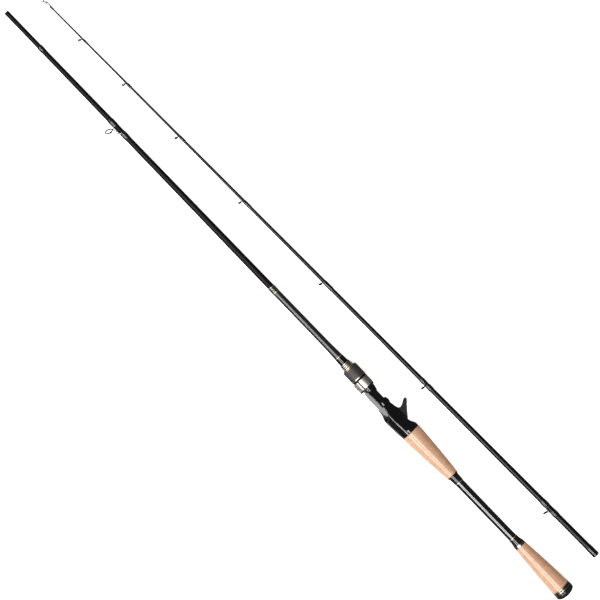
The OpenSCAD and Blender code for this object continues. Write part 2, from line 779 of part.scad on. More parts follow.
module guide_frame(g) color([0.3, 0.3, 0.32]) on_tip() {
    wire = 0.32;
    leg_in = wire + 0.13;
    foot_y = tip_blank_r(guide_x(g)) + foot_t;
    ends = [rear_span(g)[0] - 1, guide_end(g) + 1];
    difference() {
        union() {
            ring_band(guide_x(g), g[2], g[1]);
            leg_pair(guide_x(g), g[2], g[1], [rear_span(g)[1] + leg_in, foot_y, 0], wire);
            if (has_front(g))
                leg_pair(guide_x(g), g[2], g[1], [front_span(g)[0] - leg_in, foot_y, 0], wire);
            intersection() {
                guide_feet(g);
                tip_solid(ends[0], ends[1], foot_t);
            }
        }
        tip_solid(ends[0], ends[1], 0);
        at_ring(guide_x(g), g[2]) cylinder(h = 3 * frame_w, r = g[1] - frame_t, center = true);
    }
}

module guide_ring(g) color([0.2, 0.2, 0.22]) on_tip()
    ring_insert(guide_x(g), g[2], g[1]);

module guide_wrap(g) color([0.05, 0.05, 0.05]) on_tip() difference() {
    union() {
        tip_sleeve(rear_span(g)[0], rear_span(g)[1], guide_wrap_t);
        if (has_front(g))
            tip_sleeve(front_span(g)[0], front_span(g)[1], guide_wrap_t);
    }
    intersection() {
        guide_feet(g);
        tip_solid(rear_span(g)[0] - 1, guide_end(g) + 1, foot_t);
    }
}

butt_blank();
stop_wrap();
stop_wrap_trim();
stripper_frame();
stripper_ring();
stripper_wraps();
stripper_trims();
marker_wrap();
marker_trims();
gloss_band();
fore_trim();
fore_wrap();
winding_check();
seat_body();
seat_arbors();
hood();
hood_rim();
nut_core();
nut_sleeve();
nut_trims();
front_grip();
front_grip_ring();
front_sleeve();
front_line();
rear_line();
rear_sleeve();
rear_check();
rear_grip();
butt_trims();
butt_dark_ring();
butt_cap();
tip_blank();
socket_wrap();
socket_trim();
tip_top_frame();
tip_top_ring();
tip_top_wrap();
for (k = [1:len(guides)]) {
    guide_frame(guides[k - 1]);
    guide_ring(guides[k - 1]);
    guide_wrap(guides[k - 1]);
}
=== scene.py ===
# %% [markdown]
# # A two-piece casting rod, laid out to be looked at
# This notebook dresses a finished mechanical model of a fishing rod. The rod has been taken apart at its
# ferrule, and its handle section and its tip section lie side by side. The shapes with fits and joints
# are already there as solids. What is added here is what a rod builder adds by hand: cork that was turned
# and sanded, thread wraps under varnish, bent wire guides, and a finish for every surface.

# %% Load the solids and keep the size they have
import json
import math

import bpy
import numpy as np
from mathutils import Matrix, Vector


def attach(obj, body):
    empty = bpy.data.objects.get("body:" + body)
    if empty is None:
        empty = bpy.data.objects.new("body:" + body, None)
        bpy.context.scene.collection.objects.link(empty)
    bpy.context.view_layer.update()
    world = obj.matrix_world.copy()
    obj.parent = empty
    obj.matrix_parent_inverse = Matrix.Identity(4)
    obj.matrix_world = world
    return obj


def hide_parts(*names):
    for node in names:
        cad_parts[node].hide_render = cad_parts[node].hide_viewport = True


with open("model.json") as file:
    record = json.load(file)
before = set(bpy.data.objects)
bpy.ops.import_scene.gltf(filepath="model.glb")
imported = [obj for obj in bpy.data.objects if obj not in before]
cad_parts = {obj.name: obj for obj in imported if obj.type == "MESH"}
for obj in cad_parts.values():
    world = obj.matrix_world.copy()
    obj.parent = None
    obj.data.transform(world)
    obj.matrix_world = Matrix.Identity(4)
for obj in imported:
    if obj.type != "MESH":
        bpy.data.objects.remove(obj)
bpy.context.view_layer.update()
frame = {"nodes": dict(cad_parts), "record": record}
record = frame["record"]
MM = 0.001

# %% [markdown]
# ## The table, the camera and the light
# The rod is looked at from straight above, from three metres up, with a long lens, so that both sections
# fit corner to corner and lie flat to the eye. A glossy black cylinder shows nothing but what it mirrors. A
# narrow box on the reel's side draws one thin line along each section, a box overhead lights the cork, and
# a low box lights the edge of the seat. The table is pale and glows, which keeps thin shadows from
# turning into stripes. It is left out of mirror reflections and blocks no light, because a white table
# would fill the flanks with grey and would hide the low box.

# %% Camera
target = Vector((-10.3 * MM, 11.3 * MM, 15 * MM))
camera_data = bpy.data.cameras.new("camera")
camera_data.lens = 130
camera_data.clip_start, camera_data.clip_end = 0.05, 20
camera = bpy.data.objects.new("camera", camera_data)
camera.location = target + Vector((0, 0, 3.0))
camera.rotation_euler = (0, 0, math.radians(226.05))
bpy.context.collection.objects.link(camera)
bpy.context.scene.camera = camera
bpy.context.scene.view_settings.view_transform = "Standard"
print("camera height over the table:", round(camera.location.z, 3), "m")


# %% Lights
def soft_box(name, place, aim, width, length, power, tint=(1, 1, 1)):
    """A rectangular lamp at place, turned to face aim, with its long side along X."""
    data = bpy.data.lights.new(name, "AREA")
    data.shape, data.size, data.size_y = "RECTANGLE", length, width
    data.energy, data.color = power, tint
    lamp = bpy.data.objects.new(name, data)
    lamp.location = place
    lamp.rotation_euler = (Vector(aim) - Vector(place)).to_track_quat("-Z", "Y").to_euler()
    bpy.context.collection.objects.link(lamp)
    return lamp


soft_box("long_box", (0, 1.25, 1.45), (0, 0, 0), 0.34, 2.4, 34)
soft_box("top_box", (0, 0.42, 2.1), (0, 0, 0), 0.42, 2.4, 34)
soft_box("low_box", (0, 1.53, -1.29), (0, 0, 0), 0.26, 2.4, 4.5)

world = bpy.data.worlds.new("dim_room")
bpy.context.scene.world = world
world.use_nodes = True
world.node_tree.nodes["Background"].inputs["Color"].default_value = (0.06, 0.06, 0.061, 1)
world.node_tree.nodes["Background"].inputs["Strength"].default_value = 1.0

# %% [markdown]
# ## Writing shaders as sums
# A finish is a small calculation on the place of a surface point. To write it as one, `Value` wraps a
# socket and gives it the signs of arithmetic, so that `1 - mask * 0.3` adds two Math nodes. `Finish` holds
# one material, and its `node` method adds any other node: its settings go first, then its inputs.


# %% A socket that can be added, multiplied and compared
class Value:
    """The output of a shader node, with arithmetic. Each sign adds one Math node."""

    def __init__(self, finish, socket):
        self.finish, self.socket = finish, socket

    def _math(self, operation, a, b):
        return self.finish.node("ShaderNodeMath", {"operation": operation}, a, b)

    def __add__(self, other):
        return self._math("ADD", self, other)

    def __radd__(self, other):
        return self._math("ADD", other, self)

    def __sub__(self, other):
        return self._math("SUBTRACT", self, other)

    def __rsub__(self, other):
        return self._math("SUBTRACT", other, self)

    def __mul__(self, other):
        return self._math("MULTIPLY", self, other)

    def __rmul__(self, other):
        return self._math("MULTIPLY", other, self)

    def __truediv__(self, other):
        return self._math("DIVIDE", self, other)

    def __rtruediv__(self, other):
        return self._math("DIVIDE", other, self)

    def __gt__(self, other):
        return self._math("GREATER_THAN", self, other)

    def __lt__(self, other):
        return self._math("LESS_THAN", self, other)


# %% A material and its nodes
class Finish:
    """One node material with a Principled shader. Constants go straight onto the shader's sockets."""

    def __init__(self, name, **constants):
        self.material = bpy.data.materials.new(name)
        self.material.use_nodes = True
        self.tree = self.material.node_tree
        self.shader = self.tree.nodes["Principled BSDF"]
        for socket, value in constants.items():
            self.shader.inputs[socket.replace("_", " ")].default_value = value

    def node(self, kind, settings=None, *places, out=0, **named):
        """Adds a node: settings first, then input values or links by order or by name."""
        node = self.tree.nodes.new(kind)
        for key, value in (settings or {}).items():
            if key == "stops":
                self._stops(node.color_ramp, value)
            else:
                setattr(node, key, value)
        for key, value in [*enumerate(places), *((k.replace("_", " "), v) for k, v in named.items())]:
            self._feed(node.inputs[key], value)
        return Value(self, node.outputs[out])

    def _stops(self, ramp, stops):
        while len(ramp.elements) < len(stops):
            ramp.elements.new(1.0)
        for element, (place, colour) in zip(ramp.elements, stops):
            element.position, element.color = place, (*colour, 1)

    def _feed(self, socket, value):
        if isinstance(value, Value):
            self.tree.links.new(value.socket, socket)
        else:
            socket.default_value = value

    def feed(self, **inputs):
        """Links values to the shader's own sockets."""
        for key, value in inputs.items():
            self._feed(self.shader.inputs[key.replace("_", " ")], value)
        return self

    def place(self):
        """The surface point in the row frame, in metres."""
        return self.node("ShaderNodeTexCoord", out="Object")

    def sine(self, value):
        return self.node("ShaderNodeMath", {"operation": "SINE"}, value)

    def clamp(self, value):
        return self.node("ShaderNodeClamp", None, value)

    def dot(self, point, axis):
        """How far point lies along axis."""
        return self.node("ShaderNodeVectorMath", {"operation": "DOT_PRODUCT"}, point, tuple(axis),
                         out="Value")

    def along(self, section, start=0.0):
        """Distance along a section from its rear end, less start, in metres."""
        return self.dot(self.place(), section.turn[0]) - float(section.turn[0] @ section.origin + start)

    def around(self, section):
        """Angle round a section's axis in radians: 0 on the ring side, seam on the far side."""
        y, z = (self.dot(self.place(), axis) - float(axis @ section.origin) for axis in section.turn[1:])
        return self.node("ShaderNodeMath", {"operation": "ARCTAN2"}, z, y)

    def stretch(self, point, scale, turn=(0, 0, 0)):
        """point turned and scaled per axis, for patterns with a grain."""
        return self.node("ShaderNodeMapping", {"vector_type": "POINT"}, point, (0, 0, 0), turn, scale)

    def noise(self, point, scale, detail=3.0, roughness=0.55):
        return self.node("ShaderNodeTexNoise", None, out="Fac", Vector=point, Scale=scale, Detail=detail,
                         Roughness=roughness)

    def ramp(self, value, *stops):
        return self.node("ShaderNodeValToRGB", {"stops": stops}, value)

    def mix(self, share, a, b):
        """Colour a where share is 0 and b where it is 1."""
        node = self.tree.nodes.new("ShaderNodeMix")
        node.data_type = "RGBA"
        for key, value in ((0, share), (6, a), (7, b)):
            self._feed(node.inputs[key], value)
        return Value(self, node.outputs[2])

    def bump(self, height, depth, strength=1.0):
        """Tilts the shading normal by height, where 1 stands depth metres proud of 0."""
        return self.feed(Normal=self.node("ShaderNodeBump", None, out="Normal", Strength=strength,
                                          Distance=depth, Height=height))


# %% [markdown]
# ## Where the two sections lie
# Each section was designed along its own axis, and then laid down slightly pitched and rolled. The record
# states where its ferrule points and where its rings are. Those give each section a frame of its own: x
# along the blank towards the tip, y towards the reel or the rings, and z across. The stripper guide stands
# a little round the blank from the reel, so it has a frame turned to suit. Every new piece is worked out
# in such a frame, and one matrix product puts it on the table.


# %% The frame of a section
class Section:
    """A right-handed frame on a blank: rows of self.turn are its x, y and z axes in the row frame. The
    y axis points from the blank to the point beside, and x is 0 where rear_node starts."""

    def __init__(self, axis, on_axis, beside, rear_node, body):
        x = np.array(axis) / np.linalg.norm(axis)
        side = np.array(beside) - on_axis
        side -= x * (side @ x)
        y = side / np.linalg.norm(side)
        self.turn = np.array([x, y, np.cross(x, y)])
        self.origin, self.body = np.array(on_axis), body
        self.origin = self.origin + x * self.inside(vertices(rear_node))[:, 0].min()

    def inside(self, points):
        """Row frame to section frame."""
        return (points - self.origin) @ self.turn.T

    def outside(self, points):
        """Section frame to row frame."""
        return points @ self.turn + self.origin


def vertices(node):
    """All vertices of a CAD node as an array, in metres."""
    mesh = frame["nodes"][node].data
    flat = np.empty(len(mesh.vertices) * 3)
    mesh.vertices.foreach_get("co", flat)
    return flat.reshape(-1, 3)


mounts = {m["name"]: m for m in record["mounts"]}
handle = Section(mounts["ferrule_spigot"]["axis"], mounts["ferrule_spigot"]["pos_m"],
                 mounts["reel_seat"]["pos_m"], "butt_cap", "handle_section")
stripper = Section(mounts["ferrule_spigot"]["axis"], mounts["ferrule_spigot"]["pos_m"],
                   mounts["stripper_ring"]["pos_m"], "butt_cap", "handle_section")
tip = Section(-np.array(mounts["tip_socket"]["axis"]), mounts["tip_socket"]["pos_m"],
              mounts["guide_7_ring"]["pos_m"], "tip_blank", "tip_section")
print("handle section starts at", handle.origin.round(4), "tip section at", tip.origin.round(4))


# %% Measuring a turned solid
def stretches(section, node):
    """The x ranges of a node's separate solids. No triangle leaves its solid, so the triangles' own x
    ranges, sorted and merged, break only between solids."""
    mesh = frame["nodes"][node].data
    mesh.calc_loop_triangles()
    corners = np.empty(len(mesh.loop_triangles) * 3, np.int32)
    mesh.loop_triangles.foreach_get("vertices", corners)
    x = section.inside(vertices(node))[:, 0][corners.reshape(-1, 3)]
    lo, hi = x.min(1), x.max(1)
    order = np.argsort(lo)
    lo, reach = lo[order], np.maximum.accumulate(hi[order])
    cut = np.flatnonzero(lo[1:] > reach[:-1] + 0.01 * MM)
    return list(zip(np.r_[lo[0], lo[cut + 1]], np.r_[reach[cut], reach[-1]]))


def radii(section, node, x, near=0.05 * MM):
    """Smallest and largest radius of a node's vertices close to x."""
    p = section.inside(vertices(node))
    r = np.hypot(p[:, 1], p[:, 2])[np.abs(p[:, 0] - x) < near]
    return r.min(), r.max()


for node in ("fore_wrap", "stripper_wraps"):
    for x0, x1 in stretches(handle, node):
        print(node, "from", round(x0 / MM, 1), "to", round(x1 / MM, 1), "mm, bore and outside",
              [round(r / MM, 2) for r in radii(handle, node, x0)], "mm")

# %% [markdown]
# ## Surfaces from grids
# Two recipes make nearly every new piece. `turned` carries a profile round an axis, as a lathe does.
# `swept` carries a round section along a path, as a wire bender does. Each fills a grid of points from two
# parameters at once. `build` then joins the grids of one piece into a mesh, whose ends are closed.


# %% From grids of points to one mesh
def skin(grid, closed):
    """Faces of grid[i, j]. Columns close into a ring. Rows close too if closed is true, and otherwise one
    point in the middle of the first and of the last ring closes the ends."""
    rows, columns = grid.shape[:2]
    i = np.arange(rows if closed else rows - 1)[:, None]
    j = np.arange(columns)[None, :]
    up, right = (i + 1) % rows, (j + 1) % columns
    quads = np.stack([i * columns + j, i * columns + right, up * columns + right, up * columns + j], -1)
    points, fans = grid.reshape(-1, 3), np.empty((0, 3), int)
    if not closed:
        ring, last = np.arange(columns), (rows - 1) * columns
        turn = (ring + 1) % columns
        centre = len(points) + np.arange(2)[:, None] * np.ones(columns, int)
        fans = np.vstack([np.stack([centre[0], turn, ring], -1),
                          np.stack([centre[1], last + ring, last + turn], -1)])
        points = np.vstack([points, grid[0].mean(0), grid[-1].mean(0)])
    return points, quads.reshape(-1, 4), fans


def build(name, parts, finish, body, stands_for=(), sharp=38):
    """One piece from several (section, grid, closed) parts, on its body, in place of some solids."""
    points, quads, fans, count = [], [], [], 0
    for section, grid, closed in parts:
        p, q, f = skin(grid, closed)
        points.append(section.outside(p))
        quads.append(q + count)
        fans.append(f + count)
        count += len(p)
    quads, fans = np.vstack(quads), np.vstack(fans)
    mesh = bpy.data.meshes.new(name)
    mesh.vertices.add(count)
    mesh.vertices.foreach_set("co", np.vstack(points).ravel())
    corners = np.concatenate([quads.ravel(), fans.ravel()])
    sizes = np.r_[np.full(len(quads), 4), np.full(len(fans), 3)]
    mesh.loops.add(len(corners))
    mesh.loops.foreach_set("vertex_index", corners)
    mesh.polygons.add(len(sizes))
    mesh.polygons.foreach_set("loop_start", np.r_[0, np.cumsum(sizes)[:-1]])
    mesh.update(calc_edges=True)
    return settle(name, mesh, finish, body, stands_for, sharp)


def settle(name, mesh, finish, body, stands_for=(), sharp=38):
    """Puts a finished mesh in the scene with its finish, riding on its body."""
    mesh.polygons.foreach_set("use_smooth", np.ones(len(mesh.polygons), bool))
    mesh.set_sharp_from_angle(angle=math.radians(sharp))
    mesh.materials.clear()
    mesh.materials.append(finish.material)
    piece = bpy.data.objects.new(name, mesh)
    bpy.context.collection.objects.link(piece)
    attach(piece, body)
    if stands_for:
        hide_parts(*stands_for)
    return piece


# %% Lathe and wire
def turned(section, x, r, columns=72, closed=True):
    """Points (x, r cos a, r sin a) for a profile x, r and angles a. x and r may vary with the angle."""
    a = np.linspace(0, 2 * math.pi, columns, endpoint=False)
    x, r = (v[:, None] * np.ones(columns) if v.ndim == 1 else v for v in (x, r))
    return section, np.stack([x, r * np.cos(a), r * np.sin(a)], -1), closed


def swept(section, path, radius, columns=12, flat=1.0, across=(0, 0, 1)):
    """Each point of a path carries an ellipse, radius wide along across and flat times that the other
    way, square to the path's tangent."""
    tangent = np.gradient(path, axis=0)
    tangent /= np.linalg.norm(tangent, axis=1)[:, None]
    wide = np.array(across) - tangent * (tangent @ np.array(across))[:, None]
    wide /= np.linalg.norm(wide, axis=1)[:, None]
    thin = np.cross(tangent, wide)
    a = np.linspace(0, 2 * math.pi, columns, endpoint=False)[None, :, None]
    radius = np.broadcast_to(radius, len(path))[:, None, None]
    ring = radius * (np.cos(a) * wide[:, None] + flat * np.sin(a) * thin[:, None])
    return section, path[:, None] + ring, False


def bend(a, b, c, d, steps=14):
    """A cubic curve from a to d that sets out towards b and arrives from c."""
    t = np.linspace(0, 1, steps)[:, None]
    a, b, c, d = (np.array(p, float) for p in (a, b, c, d))
    return (1 - t) ** 3 * a + 3 * t * (1 - t) ** 2 * b + 3 * t * t * (1 - t) * c + t ** 3 * d


def rise(t):
    """A smooth step from 0 to 1 as t goes from 0 to 1: 3t^2 - 2t^3, level outside."""
    t = np.clip(t, 0, 1)
    return t * t * (3 - 2 * t)


print("a smooth step at a quarter of its way:", rise(0.25))

# %% [markdown]
# ## Finishes
# Carbon cloth, thread and cork all have a grain, and the grain runs along or round the rod. So each
# pattern is worked out from the distance along a section and the angle round it, not from flat
# coordinates. What varies feeds colour, roughness or the shading normal. What does not is set once.

# %% Clear-coated carbon of the handle section
TURN = 2 * math.pi


def carbon(name, section, gloss_until, dark, light, satin, coat):
    """Tape wound both ways in 8 starts: the sum of two helical sines picks out diamonds. Behind
    gloss_until the clear coat is full and polished. Ahead of it the coat has weight coat, over a
    roughness of satin."""
    look = Finish(name, IOR=1.5, Coat_IOR=2.0, Coat_Roughness=0.03, Specular_IOR_Level=0.16)
    x, a = look.along(section), look.around(section)
    diamonds = look.sine(x * (TURN / (14 * MM)) + a * 8) + look.sine(x * (TURN / (14 * MM)) - a * 8)
    fibre = look.noise(look.stretch(look.place(), (260, 2600, 2600)), 1.0, detail=2)
    tone = look.clamp(diamonds * 0.28 + fibre * 0.9 - 0.05)
    look.feed(Base_Color=look.mix(tone, (*dark, 1), (*light, 1)))
    polished = x < gloss_until
    look.feed(Roughness=satin - polished * (satin - 0.16) + fibre * 0.08,
              Coat_Weight=polished * (1 - coat) + coat)
    look.bump(diamonds * 0.1 + fibre, 0.006 * MM, 0.3)
    return look


gloss_end = stretches(handle, "marker_wrap")[0][1]
handle_carbon = carbon("handle_carbon", handle, gloss_end, (0.0015, 0.0012, 0.0012), (0.009, 0.007, 0.0065),
                       0.42, 0.0)
tip_carbon = carbon("tip_carbon", tip, -5.0, (0.0015, 0.0012, 0.0012), (0.007, 0.006, 0.006), 0.34, 0.12)
print("polished up to", round(gloss_end, 4), "m, satin from there")


# %% Thread under varnish
def thread(name, section, colour, pitch, metal=0.0, roughness=0.1, relief=0.35):
    """Turns of thread, pitch apart, seen through a poured varnish. A sine along the blank gives each turn a
    slight ridge and paints shade into the grooves between turns, and slow noise gives the varnish its level
    patches."""
    look = Finish(name, IOR=1.5, Metallic=metal, Coat_Weight=0.5, Coat_Roughness=0.08)
    turns = look.sine(look.along(section) * (TURN / pitch)) * 0.5 + 0.5
    pool = look.noise(look.stretch(look.place(), (180, 420, 420)), 1.0)
    # painted shade: the mix runs darker in the grooves between turns, and the noise adds random patches of
    # tone
    shade = look.clamp(turns * 0.45 + pool * 0.6)
    dark = tuple(c * 0.55 for c in colour)
    look.feed(Base_Color=look.mix(shade, (*dark, 1), (*colour, 1)), Roughness=roughness + pool * 0.1)
    look.bump(turns * relief + pool, 0.006 * MM, 0.4)
    return look


BLACK_THREAD, GOLD_THREAD, DARK_GOLD = (0.006, 0.0055, 0.006), (0.72, 0.60, 0.42), (0.07, 0.05, 0.035)
handle_thread = thread("handle_thread", handle, BLACK_THREAD, 0.35 * MM)
tip_thread = thread("tip_thread", tip, BLACK_THREAD, 0.3 * MM)
METALLIC = {"pitch": 0.3 * MM, "metal": 0.85, "roughness": 0.28, "relief": 1.0}
gold_handle = thread("gold_thread_handle", handle, GOLD_THREAD, **METALLIC)
dark_gold = thread("dark_gold_thread", handle, DARK_GOLD, **METALLIC)
dark_gold_tip = thread("dark_gold_thread_tip", tip, DARK_GOLD, **METALLIC)
print("threads:", BLACK_THREAD, GOLD_THREAD)

# %% The marker wrap and the glossy band
(marker_start, marker_end), = stretches(handle, "marker_wrap")
marker = Finish("marker_curl", IOR=1.5, Coat_Weight=1.0, Coat_Roughness=0.03, Roughness=0.2)
share = marker.along(handle, marker_start) / float(marker_end - marker_start)
curl = marker.sine(marker.around(handle) * 5 + marker.sine(share * TURN) * 1.4)
from_line = marker.node("ShaderNodeMath", {"operation": "ABSOLUTE"}, curl * 0.34 + 0.5 - share)
line = 1 - marker.clamp(from_line * 13)
marker.feed(Base_Color=marker.mix(line, (0.012, 0.010, 0.010, 1), (0.46, 0.38, 0.25, 1)), Metallic=line * 0.8)
marker.bump(line, 0.02 * MM, 0.5)

band = Finish("glossy_band", IOR=1.5, Coat_Weight=0.8, Coat_Roughness=0.12)
streak = band.noise(band.stretch(band.place(), (9, 900, 900)), 1.0, detail=4)
band.feed(Base_Color=band.mix(streak, (0.006, 0.005, 0.005, 1), (0.026, 0.023, 0.023, 1)),
          Roughness=0.2 + streak * 0.16)
print("the marker is", round((marker_end - marker_start) / MM, 2), "mm long")


# %% Turned and anodised metals
def machined(name, section, colour, roughness, pitch=0.12 * MM, relief=0.5, metal=1.0, groove_shade=None):
    """A lathe's fine feed lines round the axis, with faint noise from anodising and handling. Grooves are
    given as their start, pitch and share of land, and are painted near black as the shade in their recesses."""
    look = Finish(name, Metallic=metal)
    feed = look.sine(look.along(section) * (TURN / pitch)) * 0.5 + 0.5
    cloud = look.noise(look.place(), 900, detail=4)
    worn = tuple(min(1.0, c * 1.12) for c in colour)
    dull = tuple(c * 0.82 for c in colour)
    shade = look.mix(look.clamp(cloud * 0.8 + feed * 0.2), (*dull, 1), (*worn, 1))
    if groove_shade:
        start, step, land = groove_shade
        turns = look.along(section, start) / float(step)
        # painted shade: the grooves of the winding check are coloured near black
        cut = look.node("ShaderNodeMath", {"operation": "FRACT"}, turns) > land
        shade = look.mix(cut, shade, (0.012, 0.010, 0.009, 1))
    look.feed(Base_Color=shade, Roughness=roughness - 0.06 + cloud * 0.12)
    look.bump(feed * relief + cloud * 0.4, 0.006 * MM, 0.6)
    return look


champagne = machined("champagne_metal", handle, (0.83, 0.76, 0.70), 0.46)
nut_gold = machined("nut_gold_metal", handle, (0.62, 0.52, 0.36), 0.34)
(check_start, check_end), = stretches(handle, "winding_check")
CHECK_STEPS, CHECK_GROOVE = 4, 1.1 * MM
check_step = (check_end - check_start) / CHECK_STEPS
ribbed_metal = machined("ribbed_metal", handle, (0.80, 0.71, 0.56), 0.4,
                        groove_shade=(check_start, check_step, 1 - CHECK_GROOVE / check_step))
check_silver = machined("check_silver", handle, (0.42, 0.41, 0.40), 0.25)
butt_gold = machined("butt_gold", handle, (0.42, 0.35, 0.25), 0.32)
guide_wire = machined("guide_wire", tip, (0.30, 0.30, 0.31), 0.4, relief=0.0)
bright_steel = machined("bright_steel", tip, (0.62, 0.62, 0.63), 0.22)
print("metals:", [m.name for m in bpy.data.materials if "metal" in m.name or "steel" in m.name])


# %% Moulded and polished plastics, ceramic and rubber
def moulded(name, colour, roughness, grain=2500, relief=0.004 * MM, coat=0.0, shine=0.5):
    """A moulded skin: even colour with a trace of cloud, and a fine texture in the normal."""
    look = Finish(name, IOR=1.5, Coat_Weight=coat, Coat_Roughness=0.04, Specular_IOR_Level=shine)
    texture = look.noise(look.place(), grain, detail=3)
    cloud = look.noise(look.place(), 120, detail=3)
    light = tuple(c * 1.5 for c in colour)
    look.feed(Base_Color=look.mix(cloud, (*colour, 1), (*light, 1)), Roughness=roughness + texture * 0.08)
    look.bump(texture, relief, 0.6)
    return look


polished_black = moulded("polished_black", (0.008, 0.007, 0.008), 0.08, coat=0.5)
nut_black = moulded("nut_black", (0.0055, 0.005, 0.005), 0.6, shine=0.03)
ceramic = moulded("dark_ceramic", (0.008, 0.008, 0.009), 0.2, relief=0.001 * MM, shine=0.2)
ring_black = moulded("ring_black", (0.006, 0.006, 0.0065), 0.4, relief=0.001 * MM, shine=0.1)
butt_rubber = moulded("butt_rubber", (0.010, 0.010, 0.010), 0.22, relief=0.006 * MM)
tape = moulded("arbor_tape", (0.50, 0.44, 0.30), 0.7, relief=0.02 * MM)

seat_skin = Finish("seat_skin", IOR=1.5, Coat_Weight=0.3, Coat_Roughness=0.04)
drop = -1 * seat_skin.dot(seat_skin.place(), handle.turn[1]) + float(handle.turn[1] @ handle.origin)
satin = seat_skin.clamp((drop - 8.5 * MM) * (1 / (2.5 * MM)))
grain = seat_skin.noise(seat_skin.place(), 2600, detail=3)
seat_skin.feed(Base_Color=seat_skin.mix(satin, (0.005, 0.0045, 0.005, 1), (0.034, 0.031, 0.035, 1)),
               Roughness=0.1 + satin * 0.3 + grain * 0.05)
seat_skin.bump(grain * (satin * 0.9 + 0.1), 0.02 * MM, 0.6)

grip_charcoal = Finish("grip_charcoal", IOR=1.5)
flecks = grip_charcoal.noise(grip_charcoal.stretch(grip_charcoal.place(), (500, 2400, 2400)), 1.0, detail=4)
grip_charcoal.feed(Base_Color=grip_charcoal.mix(flecks, (0.016, 0.013, 0.013, 1), (0.055, 0.046, 0.048, 1)),
                   Roughness=0.38 + flecks * 0.16)
grip_charcoal.bump(flecks, 0.02 * MM, 0.5)
print("materials so far:", len(bpy.data.materials))

# %% [markdown]
# ## Cork grips
# A grip is cork rings glued in a row, turned on a lathe and sanded. Two things make it read as cork: the
# rings differ a little in tone, and each is crossed by short dark pores that leave small pits. The pores
# are real dents in the mesh, and the same places are written into a vertex attribute, so that the shader
# darkens exactly where the mesh dips.

# %% Cork's colour
cork = Finish("cork", IOR=1.5, Coat_Weight=0.8, Coat_Roughness=0.2)
pores = cork.node("ShaderNodeAttribute", {"attribute_name": "pores"}, out="Fac")
tone = cork.node("ShaderNodeAttribute", {"attribute_name": "tone"}, out="Fac")
cloud = cork.noise(cork.place(), 260, detail=5)
fleck = cork.ramp(cork.noise(cork.stretch(cork.place(), (520, 1500, 1500)), 1.0, detail=4),
                  (0.58, (0, 0, 0)), (0.72, (1, 1, 1)))
pale = cork.mix(cork.clamp(cloud * 1.3 - 0.2 + tone), (0.54, 0.295, 0.175, 1), (0.71, 0.425, 0.265, 1))
speckled = cork.mix(fleck * 0.22, pale, (0.40, 0.19, 0.095, 1))
cork.feed(Base_Color=cork.mix(cork.clamp(pores * 0.7), speckled, (0.26, 0.115, 0.05, 1)),
          Roughness=0.3 + cloud * 0.1 + pores * 0.25)
cork.bump(cloud * 0.5 - fleck * 0.5, 0.015 * MM, 0.4)
print("cork reads the attributes pores and tone")


# %% A turned and pitted grip
def cork_grip(name, node, seed, rows=300, columns=168, rings=6, pits=90):
    """A lathe shape whose outline is the parabola through the solid's own outline. Each pit is a dent
    of exp(-(dx/w)^2 - (da/v)^2), narrow along the grip and longer round it, and each glue line is a
    groove of exp(-(dx/g)^2)."""
    spans = stretches(handle, node)
    x0, x1 = spans[0][0], spans[-1][1]
    places = np.array([s[0] for s in spans] + [x1])
    wide = np.array([radii(handle, node, x, 0.2 * MM)[1] for x in places])
    curve = np.polynomial.Polynomial.fit(places, wide, 2)
    x = np.linspace(x0, x1, rows)
    a = np.linspace(0, TURN, columns, endpoint=False)
    chance = np.random.default_rng(seed)
    at, angle = chance.uniform(x0, x1, pits), chance.uniform(0, TURN, pits)
    length, depth = chance.uniform(0.06, 0.22, pits), chance.uniform(0.2, 0.8, pits)
    width = chance.uniform(0.3, 0.6, pits) * MM
    along = np.exp(-((x[:, None] - at) / width) ** 2)
    turn = np.angle(np.exp(1j * (a[:, None] - angle)))
    pore = np.einsum("ip,jp->ij", along * depth, np.exp(-(turn / length) ** 2))
    pore = np.clip(pore, 0, 1)
    glue = np.exp(-((x[:, None] - places[1:-1]) / (0.22 * MM)) ** 2).sum(1)
    r = curve(x)[:, None] - 0.22 * MM * pore - 0.10 * MM * glue[:, None]
    edge = 0.5 * MM * (1 - rise(np.minimum(x - x0, x1 - x) / (0.8 * MM)))
    r = r - edge[:, None]
    bore = radii(handle, node, x0, 0.2 * MM)[0]
    ends = np.full((1, columns), bore)
    piece = build(name, [turned(handle, np.r_[x0, x, x1], np.vstack([ends, r, ends]), columns)],
                  cork, "handle_section", (node,))
    ring = np.clip(np.searchsorted(places, x, side="right") - 1, 0, rings - 1)
    shade = chance.uniform(-0.12, 0.12, rings)[ring][:, None] * np.ones(columns)
    for key, values in (("pores", np.clip(pore + 0.5 * glue[:, None], 0, 1)), ("tone", shade)):
        layer = piece.data.attributes.new(key, "FLOAT", "POINT")
        layer.data.foreach_set("value", np.vstack([values[:1], values, values[-1:]]).ravel())
    return piece


for name, node, seed in (("front_cork", "front_grip", 4), ("rear_cork", "rear_grip", 11)):
    piece = cork_grip(name, node, seed)
    print(name, len(piece.data.polygons), "faces")

# %% [markdown]
# ## Thread wraps
# A guide's foot is bound to the blank with thread, and varnish is poured over it while the rod turns. The
# varnish levels into a long soft hump with feathered ends, and it climbs over the metal foot underneath.
# A plain tube would show a hard step, so each wrap is a sleeve whose thickness is a smooth hump along the
# blank, plus a ridge over the foot.


